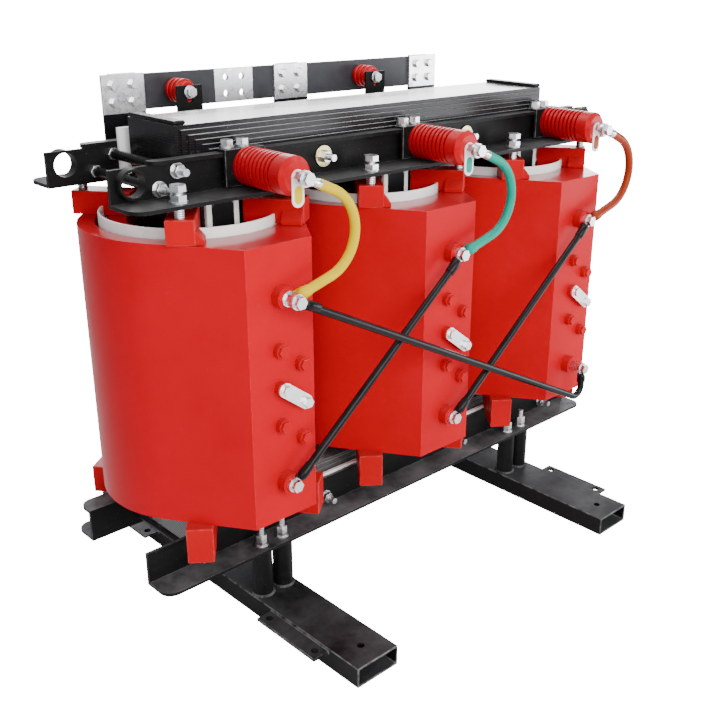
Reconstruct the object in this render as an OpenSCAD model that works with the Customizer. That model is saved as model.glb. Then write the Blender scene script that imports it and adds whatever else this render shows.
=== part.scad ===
// Three-phase cast-resin dry-type power transformer, drawn in millimetres.
// The three coils stand in a row along X. High voltage is on the -Y side, low voltage on the +Y side.
// The underside of the feet is z = 0 and the core stands over the origin.

/* [Coils] */
// distance between neighbouring coil axes
phase_pitch = 400; // [394:1:406]
// outer radius of the cast high-voltage coil
hv_radius = 189; // [186:1:192]
// inner radius of the high-voltage coil
hv_bore = 160; // [158:1:164]
// height of the windings
coil_height = 490; // [470:1:520]
// half width of the flat terminal panel
panel_half = 66; // [60:1:72]
// distance of the terminal panel from the coil axis
panel_y = 242; // [236:1:246]
// outer radius of the low-voltage coil
lv_radius = 142; // [139:1:145]
// inner radius of the low-voltage coil
lv_bore = 108; // [106:1:112]
// outer radius of the barrier tube
barrier_radius = 154; // [152:1:155]
// wall of the barrier tube
barrier_wall = 4; // [3:0.5:5]
// how far the barrier tube stands out above and below the windings
barrier_reach = 16; // [10:1:20]

/* [Spacer blocks] */
// angle between a block and the front-to-back axis
block_angle = 38; // [37:0.5:39]
// width of a block
block_width = 46; // [40:1:48]
// radius at which the upper blocks start
top_block_start = 98; // [96:1:110]
// radius at which the lower blocks start
bottom_block_start = 125; // [124:1:128]
// how far an upper block overhangs the coil
top_block_overhang = 14; // [8:1:18]
// how far a lower block overhangs the coil
bottom_block_overhang = 31; // [20:1:34]
// how far the lip of a lower block hangs down before the clamp
block_lip = 12; // [6:1:14]
// height of the upper blocks
top_block_height = 41; // [34:1:46]
// height of the lower blocks
bottom_block_height = 54; // [50:1:60]

/* [Core] */
// half thickness of the lamination stack
core_half = 88; // [86:1:90]
// half height of the middle packet of a yoke
yoke_half = 50; // [48:1:51]
// half width of the middle packet of a limb
limb_half = 64; // [58:1:64]
// how far the yokes reach past the axis of an outer limb
yoke_reach = 66; // [65:1:68]
// thickness of the boards and tie plates between the core and the clamps
board_t = 8; // [7:0.5:9]
// how far the boards reach past the ends of the yokes
board_over = 9; // [4:1:10]
// how far the upper rear board stands above its clamp
rear_board_rise = 22; // [10:1:24]

/* [Clamps] */
// sheet thickness of the clamps
clamp_t = 6; // [5:0.5:7]
// half length of the bottom clamps
bottom_clamp_half = 598; // [590:1:610]
// height of the bottom clamp web
bottom_web = 64; // [62:1:68]
// reach of the bottom clamp's lower flange
bottom_flange = 58; // [56:1:62]
// reach of the rear bottom clamp's upper flange
rear_flange = 38; // [30:1:44]
// half length of the top clamps over the lifting lugs
top_clamp_half = 604; // [602:1:612]
// height of the top clamp web
top_web = 65; // [62:1:68]
// reach of the upper flange of a top clamp
upper_flange = 14; // [12:1:18]
// reach of the lower flange of a top clamp
lower_flange = 68; // [64:1:70]
// corner radius at the ends of the flanges
flange_corner = 24; // [10:1:30]
// length of a lifting lug
lug_length = 66; // [62:1:68]
// how much lower the lugs are than the clamp
lug_drop = 7; // [6:1:10]
// bore of the lifting eyes
lift_bore = 40; // [34:1:42]
// height of the lifting eyes over the middle of the lugs
eye_rise = 6; // [0:1:6]
// depth of the collar before a lifting eye
lift_collar = 15; // [10:1:20]
// height of the press bolt tips over the upper blocks to the clamp
press_gap = 18; // [17:1:22]

/* [Feet] */
// length of a foot
foot_length = 860; // [840:10:900]
// width of the foot tube
foot_width = 95; // [94:1:104]
// height of the foot tube
foot_height = 40; // [38:1:50]
// wall of the foot tube
foot_wall = 4; // [3:0.5:5]
// distance between the two feet
foot_pitch = 716; // [700:1:730]
// diameter of the floor bolt holes
floor_hole = 14; // [12:1:18]
// distance of a floor bolt hole from the foot's end
floor_hole_inset = 45; // [35:1:55]
// width of the side ears
ear_width = 34; // [28:1:40]
// length of the side ears
ear_length = 162; // [140:1:180]
// distance of an ear from the foot's end
ear_inset = 76; // [70:1:90]
// diameter of the ear holes
ear_hole = 14; // [10:1:18]

/* [Foot posts] */
// diameter of the posts between feet and clamps
post_d = 38; // [32:1:42]
// height of the posts
post_height = 96; // [90:1:110]
// distance between the two posts of a pair
post_pitch = 48; // [45:1:50]
// diameter of the threaded studs
stud_d = 12; // [10:1:14]
// how far the studs stand above the clamp flange
stud_reach = 40; // [34:1:44]

/* [High-voltage terminals] */
// sideways place of the post insulators from the coil axis
insulator_x = 38; // [34:1:42]
// length of a post insulator
insulator_length = 123; // [118:1:128]
// outer radius of the insulator ribs
rib_radius = 32; // [28:0.5:33]
// number of insulator ribs
rib_count = 9; // [6:1:10]
// distance of the upper coil terminals below the top of the windings
top_terminal_drop = 86; // [84:1:92]
// distance of the lower coil terminals above the underside of the windings
bottom_terminal_rise = 73; // [66:1:80]
// diameter of the coloured leads
lead_d = 17; // [14:1:18]
// bend radius of the coloured leads
lead_bend = 74; // [70:1:78]
// diameter of the delta rods
rod_d = 14; // [11:1:15]

/* [Tap links] */
// height of the middle tap pair above the middle of the windings
tap_rise = 1; // [-5:1:5]
// distance between taps of one column
tap_pitch = 67; // [60:1:70]
// distance between the two tap columns
tap_column = 44; // [38:1:48]
// place of the left tap column from the coil axis
tap_x = -6; // [-14:1:0]

/* [Low-voltage terminals] */
// distance of the neutral bar from the core's middle
bar_y = 225; // [220:1:235]
// height of the neutral bar's middle above the clamps
bar_rise = 60; // [58:1:70]
// width of the neutral bar
bar_width = 64; // [58:1:68]
// thickness of the neutral bar
bar_t = 8; // [6:0.5:10]
// length of the neutral bar's post insulators
support_length = 52; // [46:1:56]
// distance of the neutral bar's supports from the middle between them
support_x = 236; // [226:1:240]
// middle between the neutral bar's supports
support_mid = -42; // [-46:1:-38]
// middle of the bare connecting field on the neutral bar
field_x = -137; // [-142:1:-130]
// distance between the connecting holes along the bar
field_pitch_x = 38; // [34:1:42]
// distance between the connecting holes across the bar
field_pitch_z = 31; // [26:1:33]
// diameter of the connecting holes
field_hole = 13; // [9:1:14]

/* [Hidden] */
$fn = 48;

black = [0.07, 0.07, 0.08];
red = [0.80, 0.09, 0.07];
steel = [0.72, 0.73, 0.75];
white = [0.92, 0.92, 0.90];
phase_colours = [[0.95, 0.80, 0.15], [0.15, 0.65, 0.50], [0.70, 0.20, 0.12]];
phases = [-phase_pitch, 0, phase_pitch];
gap = 0.5;

// fasteners
nut_af = 19;
nut_h = 10;
washer_d = 26;
washer_t = 3;
bolt_d = 12;
big_washer_d = 38;
press_d = 16;
press_nut_af = 24;
press_edge = 20;
thread_out = 30;
tie_out = 28;

// heights, stacked from the floor up
flange_z = foot_height + post_height;
flange_top = flange_z + clamp_t;
web_top = flange_z + bottom_web;
coil_base = web_top + bottom_block_height;
coil_top = coil_base + coil_height;
press_z = coil_top + top_block_height;
lower_flange_z = press_z + press_gap;
press_seat = lower_flange_z + clamp_t;
upper_flange_z = lower_flange_z + top_web;
bottom_yoke_z = flange_z + bottom_web / 2 + 2;
top_yoke_z = upper_flange_z - 8;

// depths, stacked from the core's middle outwards
web_y = core_half + board_t;
web_face = web_y + clamp_t;
post_y = web_face + bottom_flange / 2 + 7;
press_y = web_face + lower_flange - press_edge;
press_x = press_y * tan(block_angle);
top_block_end = hv_radius + top_block_overhang;
bottom_block_end = hv_radius + bottom_block_overhang;
lip_start = (web_face + gap + block_width / 2 * sin(block_angle)) / cos(block_angle);
yoke_end = phase_pitch + yoke_reach;

// lamination packets: outer edge, yoke height and reach, and limb width as shares of the middle packet
packet_edge = [0.80, 0.85, 0.90, 0.94, 0.97, 1.0];
packet_high = [1.0, 0.86, 0.70, 0.54, 0.38, 0.22];
packet_wide = [1.0, 0.93, 0.85, 0.76, 0.67, 0.58];
packets = [0 : len(packet_edge) - 1];

// bolts through the yokes and the clamps
top_bolt_x = 188;
top_bolt_z = lower_flange_z + 34;
inner_bolt_x = 195;
outer_bolt_x = yoke_end + 35;
bottom_bolt_z = flange_top + 17;

// tie rods between the clamp ends
sleeve_d = 16;
tie_rods = [[yoke_end + 21, upper_flange_z - 20], [yoke_end + 55, lower_flange_z + 20]];

// tie plates beside the limbs
tie_half = 22;
neck_half = 16;
strip_w = 10;
plate_over = 35;
strip_low_over = 30;
strip_high_over = 40;
tie_low = flange_top + 8;
tie_high = upper_flange_z - 12;

// high-voltage terminals
bracket_t = 5;
bracket_left = 46;
bracket_bolt_x = 15;
bracket_bolt_mid = -14;
insulator_y = web_face + upper_flange + bracket_t;
insulator_z = press_seat + rib_radius + 2;
cap_y = insulator_y + insulator_length;
top_terminal_z = coil_top - top_terminal_drop;
bottom_terminal_z = coil_base + bottom_terminal_rise;
boss_d = 38;
boss_y = panel_y + 18;
palm_t = 4;
palm_r = 13;
palm_reach = 24;
palm_lap = 8;
tag_t = 2;
tag_r = 12;
tag_drop = 36;

// a coloured lead leaves its insulator downwards, turns round and comes back to the coil
lead_y = boss_y + lead_d / 2 + 2.5;
lead_out = 24;
lead_in = 16;
lead_turn = 180 - lead_out - lead_in;
lead_fall = insulator_z - top_terminal_z;
lead_back = (insulator_x * sin(lead_out) + lead_fall * cos(lead_out)
  - lead_bend * (1 + cos(lead_out + lead_in))) / sin(lead_out + lead_in);

// delta rods
rod_y = boss_y + rod_d / 2;
long_y = boss_y + palm_t + rod_d + 2;
rod_bend = 20;
rod_rise = 16;

// tap bosses stand in two staggered columns
tap_z = (coil_base + coil_top) / 2 + tap_rise;
tap_boss_d = 25;
tap_y = panel_y + 10;
tap_cap_h = 6;
tap_cap_af = 18;
tap_drop = tap_pitch / 2;
link_t = 4;
link_af = 16;

// low-voltage bars
riser_x = [16, 2, -8];
riser_w = 86;
riser_t = 6;
riser_bolt_x = 20;
riser_bolt_af = 16;
riser_bolt_h = 7;
phase_bar_x = 18;
phase_bar_w = 56;
phase_bar_gap = 22;
bar_z = upper_flange_z + bar_rise;
bar_low = bar_z - bar_width / 2;
bar_high = bar_z + bar_width / 2;
bar_back = bar_y + bar_t;
bar_left = phases[0] + riser_x[0] - riser_w / 2 + riser_t;
bar_right = phases[2] + riser_x[2] + riser_w / 2;
support_t = 5;
support_half = 27;
support_y = bar_y - support_length;
slot_w = 12;
slot_run = 14;
support_d = 36;
support_rib_d = 45;

// helpers

module y_rod(d, y0, y1) {
  translate([0, y0, 0]) rotate([-90, 0, 0]) cylinder(d = d, h = y1 - y0);
}

module y_hex(af, y0, y1) {
  translate([0, y0, 0]) rotate([-90, 0, 0]) cylinder(d = af / cos(30), h = y1 - y0, $fn = 6);
}

module z_rod(d, z0, z1) {
  translate([0, 0, z0]) cylinder(d = d, h = z1 - z0);
}

module z_hex(af, z0, z1) {
  translate([0, 0, z0]) cylinder(d = af / cos(30), h = z1 - z0, $fn = 6);
}

module bar_between(p, q, d) {
  v = q - p;
  run = norm(v);
  translate(p) rotate([0, acos(v[2] / run), atan2(v[1], v[0])]) cylinder(d = d, h = run);
}

module box(x0, x1, y0, y1, z0, z1) {
  translate([x0, y0, z0]) cube([x1 - x0, y1 - y0, z1 - z0]);
}

module tube(r_out, r_in, z0, z1) {
  difference() {
    translate([0, 0, z0]) cylinder(r = r_out, h = z1 - z0, $fn = 96);
    translate([0, 0, z0 - 1]) cylinder(r = r_in, h = z1 - z0 + 2, $fn = 96);
  }
}

module both_sides() {
  children();
  mirror([0, 1, 0]) children();
}

module both_ends() {
  children();
  mirror([1, 0, 0]) children();
}

module each_phase() {
  for (x = phases) translate([x, 0, 0]) children();
}

// a nut on a washer, drawn outwards from the face at y
module nut_on(y) {
  y_rod(washer_d, -y - washer_t, -y);
  y_hex(nut_af, -y - washer_t - nut_h, -y - washer_t);
}

// outline of a strip of even thickness that follows a bent path
function unit(v) = v / norm(v);
function left_of(v) = [-v[1], v[0]];
function strip_normal(path, i) =
  let (n = len(path) - 1,
       a = left_of(unit(path[max(i, 1)] - path[max(i, 1) - 1])),
       b = left_of(unit(path[min(i, n - 1) + 1] - path[min(i, n - 1)])))
  (a + b) / (1 + a * b);
function strip(path, t) = concat(
  [for (i = [0 : len(path) - 1]) path[i] + strip_normal(path, i) * t / 2],
  [for (i = [len(path) - 1 : -1 : 0]) path[i] - strip_normal(path, i) * t / 2]);

// core

module yoke() {
  for (k = packets) {
    end = phase_pitch + yoke_reach * packet_high[k];
    edge = core_half * packet_edge[k];
    high = yoke_half * packet_high[k];
    box(-end, end, -edge, edge, -high, high);
  }
}

module bottom_bolt_places() {
  both_ends() for (x = [inner_bolt_x, outer_bolt_x]) translate([x, 0, bottom_bolt_z]) children();
}

module top_bolt_places() {
  both_ends() translate([top_bolt_x, 0, top_bolt_z]) children();
}

module core_bottom_yoke() color(black) {
  difference() {
    translate([0, 0, bottom_yoke_z]) yoke();
    bottom_bolt_places() y_rod(bolt_d + 2 * gap, -web_y, web_y);
  }
}

module core_top_yoke() color(black) {
  difference() {
    translate([0, 0, top_yoke_z]) yoke();
    top_bolt_places() y_rod(bolt_d + 2 * gap, -web_y, web_y);
  }
}

module core_limbs() color(black) {
  difference() {
    each_phase() for (k = packets) {
      edge = core_half * packet_edge[k];
      wide = limb_half * packet_wide[k];
      box(-wide, wide, -edge, edge, bottom_yoke_z, top_yoke_z);
    }
    translate([0, 0, bottom_yoke_z]) yoke();
    translate([0, 0, top_yoke_z]) yoke();
  }
}

module board(z0, z1) {
  end = yoke_end + board_over;
  difference() {
    box(-end, end, -web_y, -core_half, z0, z1);
    for (x = phases) box(x - tie_half, x + tie_half, -web_y - 1, -core_half + 1, z0 - 1, z1 + 1);
  }
}

module core_boards() color(white) {
  difference() {
    union() {
      board(press_seat + 2, upper_flange_z - 2);
      mirror([0, 1, 0]) board(press_seat + 2, upper_flange_z + rear_board_rise);
    }
    top_bolt_places() y_rod(bolt_d + 2 * gap, -web_face, web_face);
  }
  both_sides() difference() {
    board(flange_top + 2, web_top - 4);
    bottom_bolt_places() y_rod(bolt_d + 2 * gap, -web_face, 0);
  }
}

module yoke_bolt() {
  y_rod(bolt_d, -web_face - thread_out, web_face + thread_out);
  both_sides() nut_on(web_face);
}

module yoke_bolts() color(steel) {
  bottom_bolt_places() yoke_bolt();
  top_bolt_places() {
    yoke_bolt();
    both_sides() y_rod(big_washer_d, -web_face - washer_t, -web_face);
  }
}

// windings

module hv_section() {
  reach = norm([panel_half, panel_y]);
  turn = atan(panel_half / panel_y) + acos(hv_radius / reach);
  tangent = hv_radius * [sin(turn), -cos(turn)];
  difference() {
    union() {
      circle(r = hv_radius, $fn = 96);
      polygon([[-tangent[0], tangent[1]], [-panel_half, -panel_y], [panel_half, -panel_y], tangent]);
    }
    circle(r = hv_bore, $fn = 96);
  }
}

// one tap of each column, at step i from the middle pair
module tap_pair(i) {
  translate([tap_x, 0, tap_z + i * tap_pitch]) children();
  translate([tap_x + tap_column, 0, tap_z - tap_drop + i * tap_pitch]) children();
}

module terminal_places() {
  translate([0, 0, top_terminal_z]) children();
  translate([0, 0, bottom_terminal_z]) children();
}

module hv_coil(phase) color(red) translate([phases[phase], 0, 0]) {
  translate([0, 0, coil_base]) linear_extrude(coil_height) hv_section();
  for (i = [-1, 0, 1]) tap_pair(i) y_rod(tap_boss_d, -tap_y, -panel_y + 1);
  for (i = [-1, 1]) tap_pair(i) y_hex(tap_cap_af, -tap_y - tap_cap_h, -tap_y + 1);
  terminal_places() y_rod(boss_d, -boss_y, -panel_y + 1);
}

module hv_coil_a() hv_coil(0);
module hv_coil_b() hv_coil(1);
module hv_coil_c() hv_coil(2);

module lv_coil(phase) color(red) {
  translate([phases[phase], 0, 0]) tube(lv_radius, lv_bore, coil_base, coil_top);
}

module lv_coil_a() lv_coil(0);
module lv_coil_b() lv_coil(1);
module lv_coil_c() lv_coil(2);

module barrier_ring(slack, z0, z1) {
  tube(barrier_radius + slack, barrier_radius - barrier_wall - slack, z0, z1);
}

module barrier_tubes() color(white) {
  each_phase() barrier_ring(0, coil_base - barrier_reach, coil_top + barrier_reach);
}

module front_block_places() {
  each_phase() both_ends() rotate([0, 0, block_angle - 90]) children();
}

module block_places() {
  both_sides() front_block_places() children();
}

module top_press_blocks() color(red) {
  half = block_width / 2;
  block_places() difference() {
    box(top_block_start, top_block_end, -half, half, coil_top, press_z);
    barrier_ring(gap, coil_top - 1, coil_top + barrier_reach + gap);
  }
}

// the lower blocks stand on the clamps, those in front with a lip before the web
module bottom_support_blocks() color(red) {
  half = block_width / 2;
  lip_low = web_top - block_lip;
  lip_high = web_top + block_lip;
  block_places() difference() {
    box(bottom_block_start, bottom_block_end, -half, half, web_top, coil_base);
    barrier_ring(gap, coil_base - barrier_reach, coil_base + 1);
  }
  front_block_places() translate([0, half, 0]) rotate([90, 0, 0]) linear_extrude(block_width)
    polygon([[lip_start, lip_high], [lip_start, web_top], [lip_start + 2 * block_lip, lip_low],
      [bottom_block_end, lip_low], [bottom_block_end, lip_high]]);
}

// clamps

// a flange sheet from y0 out to y1 with its outer corners rounded
module flange(half, y0, y1, z0) {
  r = min(flange_corner, y1 - y0 - clamp_t);
  translate([0, 0, z0]) linear_extrude(clamp_t) difference() {
    translate([-half, -y1]) square([2 * half, y1 - y0]);
    for (s = [0, 1]) mirror([s, 0]) difference() {
      translate([-half - 1, -y1 - 1]) square([r + 1, r + 1]);
      translate([-half + r, -y1 + r]) circle(r = r);
    }
  }
}

module press_places() {
  for (x = phases, s = [-1, 1]) translate([x + s * press_x, -press_y, 0]) children();
}

module post_places() {
  both_sides() both_ends() for (s = [-1, 1]) {
    translate([foot_pitch / 2 + s * post_pitch / 2, -post_y, 0]) children();
  }
}

module bottom_clamp(top_reach) {
  difference() {
    union() {
      box(-bottom_clamp_half, bottom_clamp_half, -web_face, -web_y, flange_z, web_top);
      flange(bottom_clamp_half, web_y, web_face + bottom_flange, flange_z);
      if (top_reach > 0) flange(bottom_clamp_half, web_y, web_face + top_reach, web_top - clamp_t);
    }
    bottom_bolt_places() y_rod(bolt_d + 2 * gap, -web_face - 1, -web_y + 1);
    post_places() z_rod(stud_d + 2 * gap, flange_z - 1, flange_top + 1);
  }
}

module bottom_clamp_front() color(black) bottom_clamp(0);
module bottom_clamp_rear() color(black) mirror([0, 1, 0]) bottom_clamp(rear_flange);

module top_clamp() {
  body_half = top_clamp_half - lug_length;
  lug_top = upper_flange_z - lug_drop;
  eye = [top_clamp_half - lug_length / 2, 0, (lower_flange_z + lug_top) / 2 + eye_rise];
  difference() {
    union() {
      box(-top_clamp_half, top_clamp_half, -web_face, -web_y, lower_flange_z, lug_top);
      box(-body_half, body_half, -web_face, -web_y, lower_flange_z, upper_flange_z);
      flange(top_clamp_half, web_y, web_face + lower_flange, lower_flange_z);
      flange(body_half, web_y, web_face + upper_flange, upper_flange_z - clamp_t);
      both_ends() translate(eye) y_rod(lift_bore + 8, -web_face - lift_collar, -web_y);
    }
    both_ends() translate(eye) y_rod(lift_bore, -web_face - lift_collar - 1, -web_y + 1);
    tie_rod_places() y_rod(bolt_d + 2 * gap, -web_face - 1, -web_y + 1);
    top_bolt_places() y_rod(bolt_d + 2 * gap, -web_face - 1, -web_y + 1);
    press_places() z_rod(press_d + 2 * gap, lower_flange_z - 1, press_seat + 1);
  }
}

module top_clamp_front() color(black) top_clamp();
module top_clamp_rear() color(black) mirror([0, 1, 0]) top_clamp();

module tie_plates() color(black) {
  low = coil_base - plate_over;
  high = coil_top + plate_over;
  rise = tie_half - neck_half;
  both_sides() each_phase() translate([0, -core_half, 0]) rotate([90, 0, 0]) linear_extrude(board_t) {
    translate([-neck_half, tie_low]) square([2 * neck_half, tie_high - tie_low]);
    polygon([[-neck_half, low - rise], [neck_half, low - rise], [tie_half, low], [tie_half, high],
      [neck_half, high + rise], [-neck_half, high + rise], [-tie_half, high], [-tie_half, low]]);
  }
}

module tie_plate_strips() color(white) {
  low = coil_base - strip_low_over;
  high = coil_top + strip_high_over;
  both_sides() each_phase() both_ends() box(tie_half, tie_half + strip_w, -web_y, -core_half, low, high);
}

module tie_rod_places() {
  both_ends() for (t = tie_rods) translate([t[0], 0, t[1]]) children();
}

module clamp_tie_rods() color(steel) {
  tie_rod_places() {
    y_rod(bolt_d, -web_face - tie_out, web_face + tie_out);
    both_sides() {
      nut_on(web_face);
      y_hex(nut_af, -web_y, -web_y + nut_h);
    }
  }
}

module tie_rod_sleeves() color(black) {
  tie_rod_places() difference() {
    y_rod(sleeve_d, -web_y + nut_h, web_y - nut_h);
    y_rod(bolt_d + 2 * gap, -web_y, web_y);
  }
}

module coil_press_bolts() color(steel) {
  head_z = press_seat + 18;
  both_sides() press_places() {
    z_rod(press_d, press_z, head_z + 2);
    z_rod(press_nut_af + 6, press_seat, press_seat + washer_t);
    z_hex(press_nut_af, press_seat + washer_t, press_seat + washer_t + nut_h);
    z_hex(press_nut_af, head_z, head_z + nut_h);
  }
}

// feet

module foot_right() color(black) {
  half = foot_width / 2;
  inner = half - foot_wall;
  end = foot_length / 2;
  ear_top = foot_height - foot_wall;
  ear_low = ear_top - clamp_t;
  ear_end = end - ear_inset;
  hole_edge = ear_width / 2;
  difference() {
    translate([foot_pitch / 2, 0, 0]) difference() {
      union() {
        box(-half, half, -end, end, 0, foot_height);
        both_sides() box(inner, half + ear_width, -ear_end, -ear_end + ear_length, ear_low, ear_top);
      }
      box(-inner, inner, -end - 1, end + 1, foot_wall, foot_height - foot_wall);
      both_sides() {
        translate([0, -end + floor_hole_inset, 0]) z_rod(floor_hole, -1, foot_height + 1);
        for (y = [hole_edge, ear_length - hole_edge]) {
          translate([half + ear_width / 2, -ear_end + y, 0]) z_rod(ear_hole, ear_low - 1, ear_top + 1);
        }
      }
    }
    post_places() z_rod(stud_d + 2 * gap, foot_height - foot_wall - 1, foot_height + 1);
  }
}

module foot_left() mirror([1, 0, 0]) foot_right();

module foot_posts() color(black) {
  post_places() difference() {
    z_rod(post_d, foot_height, flange_z);
    z_rod(stud_d + 2 * gap, foot_height - 1, flange_z + 1);
  }
}

module foot_studs() color(steel) {
  inside = foot_height - foot_wall;
  first = flange_top + washer_t;
  post_places() {
    z_rod(stud_d, inside - nut_h - 4, flange_top + stud_reach);
    z_hex(nut_af, inside - nut_h, inside);
    z_rod(washer_d, flange_top, first);
    z_hex(nut_af, first, first + nut_h);
    z_hex(nut_af, first + nut_h + 1, first + 2 * nut_h + 1);
  }
}

// high-voltage terminals

module hv_brackets() color(black) {
  top = upper_flange_z + bracket_t;
  back = web_y + 2;
  each_phase() translate([insulator_x, 0, 0]) {
    box(-bracket_left, rib_radius, -insulator_y, -back, upper_flange_z, top);
    box(-bracket_left, rib_radius, -insulator_y, -insulator_y + bracket_t, press_seat + 4, top);
  }
}

// ribbed body, turned about its own axis from the bracket to the cap
module insulator_profile() {
  core_r = rib_radius - 8;
  ribs = insulator_length * 0.74;
  pitch = ribs / rib_count;
  chamfer = 7;
  rib = [[rib_radius, 0], [rib_radius, 0.5], [core_r, 0.6], [core_r, 0.9]];
  polygon(concat(
    [[0, 0]],
    [for (i = [0 : rib_count - 1], p = rib) [p[0], (i + p[1]) * pitch]],
    [[rib_radius, ribs], [rib_radius, insulator_length - chamfer]],
    [[rib_radius - chamfer, insulator_length], [0, insulator_length]]
  ));
}

module hv_insulator(phase) color(red) {
  translate([phases[phase] + insulator_x, -insulator_y, insulator_z]) rotate([90, 0, 0])
    rotate_extrude($fn = 64) insulator_profile();
}

module hv_insulator_a() hv_insulator(0);
module hv_insulator_b() hv_insulator(1);
module hv_insulator_c() hv_insulator(2);

// oblong tag that hangs on the terminal stud
module phase_tag(phase) color(phase_colours[phase]) {
  translate([phases[phase] + insulator_x, -cap_y, insulator_z]) rotate([90, 0, 0])
    linear_extrude(tag_t) difference() {
      union() {
        circle(r = tag_r);
        translate([-tag_r, -tag_drop]) square([2 * tag_r, tag_drop]);
        translate([0, -tag_drop]) circle(r = tag_r);
      }
      circle(d = bolt_d + 2 * gap);
    }
}

module phase_tag_a() phase_tag(0);
module phase_tag_b() phase_tag(1);
module phase_tag_c() phase_tag(2);

// flat eye of a cable lug: the eye is at the origin, the tongue points along the angle
module palm(y, angle) {
  translate([0, -y, 0]) rotate([90, 0, 0]) linear_extrude(palm_t) difference() {
    union() {
      circle(r = palm_r);
      rotate(angle) translate([0, -palm_r / 2]) square([palm_reach + palm_lap, palm_r]);
    }
    circle(d = bolt_d + 2 * gap);
  }
}

module hv_lead(phase) color(phase_colours[phase]) translate([phases[phase], 0, 0]) {
  top = [insulator_x, -lead_y, insulator_z];
  low = [0, -lead_y, top_terminal_z];
  away = [cos(lead_out), 0, -sin(lead_out)];
  home = [cos(lead_in), 0, sin(lead_in)];
  bend_end = low + lead_back * home;
  centre = bend_end + lead_bend * [-sin(lead_in), 0, cos(lead_in)];
  bend_start = centre + lead_bend * [sin(lead_out), 0, cos(lead_out)];
  translate([insulator_x, 0, insulator_z]) palm(boss_y, -lead_out);
  bar_between(top + palm_reach * away, bend_start, lead_d);
  translate(centre) rotate([90, 0, 0]) rotate([0, 0, lead_in - 90])
    rotate_extrude(angle = lead_turn, $fn = 96) translate([lead_bend, 0]) circle(d = lead_d);
  for (joint = [bend_start, bend_end]) translate(joint) sphere(d = lead_d + gap);
  bar_between(bend_end, low + palm_reach * home, lead_d);
  translate([0, 0, top_terminal_z]) palm(boss_y, lead_in);
}

module hv_lead_a() hv_lead(0);
module hv_lead_b() hv_lead(1);
module hv_lead_c() hv_lead(2);

// a straight rod from one coil's upper terminal to a neighbour's lower terminal
module delta_rod(from, to) color(black) {
  a = [phases[from], -rod_y - palm_t, top_terminal_z];
  b = [phases[to], -rod_y, bottom_terminal_z];
  angle = atan2(b[2] - a[2], b[0] - a[0]);
  aim = unit(b - a);
  translate([phases[from], 0, top_terminal_z]) palm(boss_y + palm_t, angle);
  bar_between(a + aim * palm_reach, b - aim * palm_reach, rod_d);
  translate([phases[to], 0, bottom_terminal_z]) palm(boss_y, angle + 180);
}

module delta_rod_b_a() delta_rod(1, 0);
module delta_rod_c_b() delta_rod(2, 1);

// the long rod passes in front of the other two and turns up into its lower terminal
module delta_rod_a_c() color(black) {
  y = long_y + rod_d / 2;
  top = [phases[0], -y, top_terminal_z];
  end = [phases[2], -y, bottom_terminal_z - palm_reach];
  turn_out = end - [0, 0, rod_rise];
  centre = turn_out - [rod_bend, 0, 0];
  span = centre - top;
  fall = atan2(span[2], span[0]) - asin(rod_bend / norm(span));
  aim = [cos(fall), 0, sin(fall)];
  turn_in = top + aim * sqrt(span * span - rod_bend * rod_bend);
  translate([phases[0], 0, top_terminal_z]) palm(long_y, fall);
  bar_between(top + aim * palm_reach, turn_in, rod_d);
  translate(centre) rotate([90, 0, 0]) rotate([0, 0, fall - 90])
    rotate_extrude(angle = 90 - fall, $fn = 96) translate([rod_bend, 0]) circle(d = rod_d);
  for (joint = [turn_in, turn_out]) translate(joint) sphere(d = rod_d + gap);
  bar_between(turn_out, end, rod_d);
  translate([phases[2], 0, bottom_terminal_z]) palm(long_y, -90);
}

// a bolt from the face at y0 through lugs up to y1
module terminal_bolt(y0, y1) {
  y_rod(bolt_d, -y1 - washer_t - 2, -y0);
  nut_on(y1);
}

// a bolt head on its washer on top of a bracket
module bracket_bolt() {
  top = upper_flange_z + bracket_t;
  z_rod(washer_d - 2, top, top + washer_t);
  z_hex(nut_af, top + washer_t, top + washer_t + nut_h);
}

module terminal_bolts() color(steel) {
  one_lug = boss_y + palm_t;
  each_phase() for (s = [-1, 1]) {
    translate([insulator_x + bracket_bolt_mid + s * bracket_bolt_x, -web_face, 0]) bracket_bolt();
  }
  for (phase = [0 : 2]) translate([phases[phase], 0, 0]) {
    translate([0, 0, top_terminal_z]) {
      terminal_bolt(boss_y, (phase == 0 ? long_y : one_lug) + palm_t);
      if (phase == 0) y_hex(nut_af, -long_y, -one_lug);
    }
    translate([0, 0, bottom_terminal_z]) {
      terminal_bolt(boss_y, (phase == 2 ? long_y : boss_y) + palm_t);
      if (phase == 2) y_hex(nut_af, -long_y, -boss_y);
    }
    translate([insulator_x, 0, insulator_z]) {
      terminal_bolt(cap_y, one_lug);
      y_hex(nut_af, -boss_y, -cap_y - tag_t);
    }
  }
}

module tap_links() color(steel) {
  run = norm([tap_column, tap_drop]);
  lean = atan(tap_drop / tap_column);
  r = tap_boss_d / 2;
  face = tap_y + link_t;
  each_phase() {
    translate([tap_x, -tap_y, tap_z]) rotate([90, 0, 0]) linear_extrude(link_t) rotate(-lean) {
      circle(r = r);
      translate([0, -r]) square([run, 2 * r]);
      translate([run, 0]) circle(r = r);
    }
    tap_pair(0) {
      y_rod(link_af + 4, -face - 2, -face);
      y_hex(link_af, -face - 8, -face - 2);
    }
  }
}

// low-voltage side

module lv_neutral_bar() color(black) {
  difference() {
    box(bar_left, bar_right, bar_y, bar_back, bar_low, bar_high);
    for (sx = [-1, 1], sz = [-1, 1]) {
      translate([field_x + sx * field_pitch_x / 2, 0, bar_z + sz * field_pitch_z / 2])
        y_rod(field_hole, bar_y - 1, bar_back + 1);
    }
  }
}

module bent_bar(x, w, path) {
  translate([x - w / 2, 0, 0]) rotate([90, 0, 90]) linear_extrude(w) polygon(strip(path, riser_t));
}

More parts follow.
